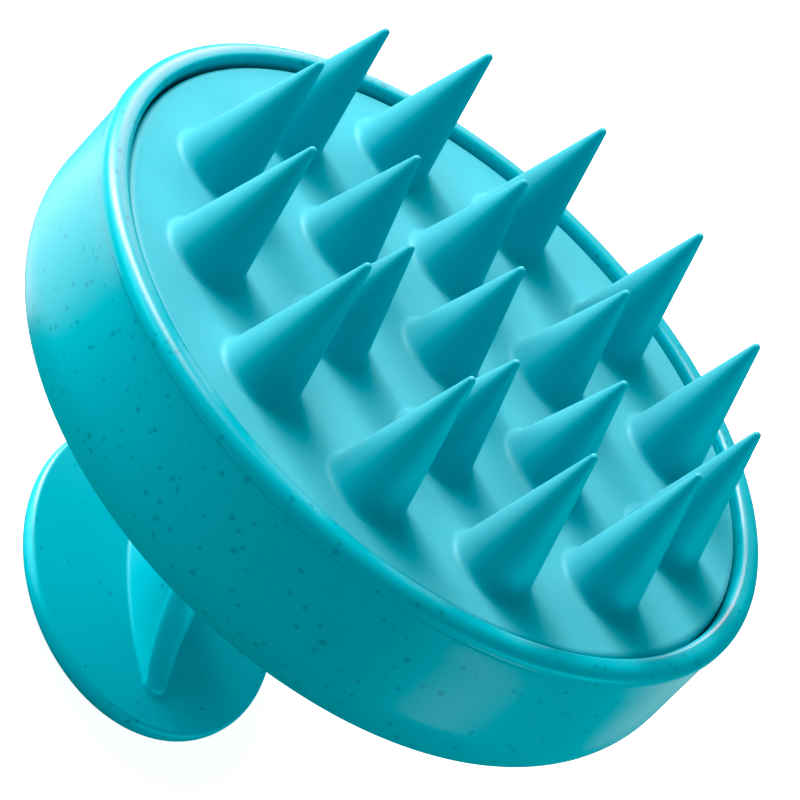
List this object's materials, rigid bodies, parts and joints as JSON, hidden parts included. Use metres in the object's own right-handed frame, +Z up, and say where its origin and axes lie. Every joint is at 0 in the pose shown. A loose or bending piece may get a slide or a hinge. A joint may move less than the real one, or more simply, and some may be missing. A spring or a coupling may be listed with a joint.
{
  "type": "scalp massager brush",
  "caption": "Handheld scalp massager brush: a round cup holding a soft pad of tall cone bristles, leaning on a short bladed stem with an oval palm disc.",
  "frame": {"origin": "centre of the palm disc's flat face, on the surface the brush stands on", "axes": "+Z up, from the palm face to the bristle side; X along the stem's blade, with the head leaning towards -X; Y across the blade"},
  "size_m": [0.0851, 0.085, 0.0767],
  "materials": {
    "shell_plastic": "satin gloss teal with fine darker flecks",
    "handle_plastic": "satin gloss teal with fine darker flecks",
    "cap_plastic": "satin teal",
    "silicone": "soft satin, lighter teal",
    "carrier_plastic": "plain moulded",
    "screw_steel": "zinc plated"
  },
  "bodies": {
    "root": {"handle": "handle_plastic", "palm_cap": "cap_plastic", "shell": "shell_plastic", "pad_carrier": "carrier_plastic", "bristle_pad": "silicone", "stem_screw": "screw_steel", "carrier_screws": "screw_steel"}
  },
  "joints": []
}
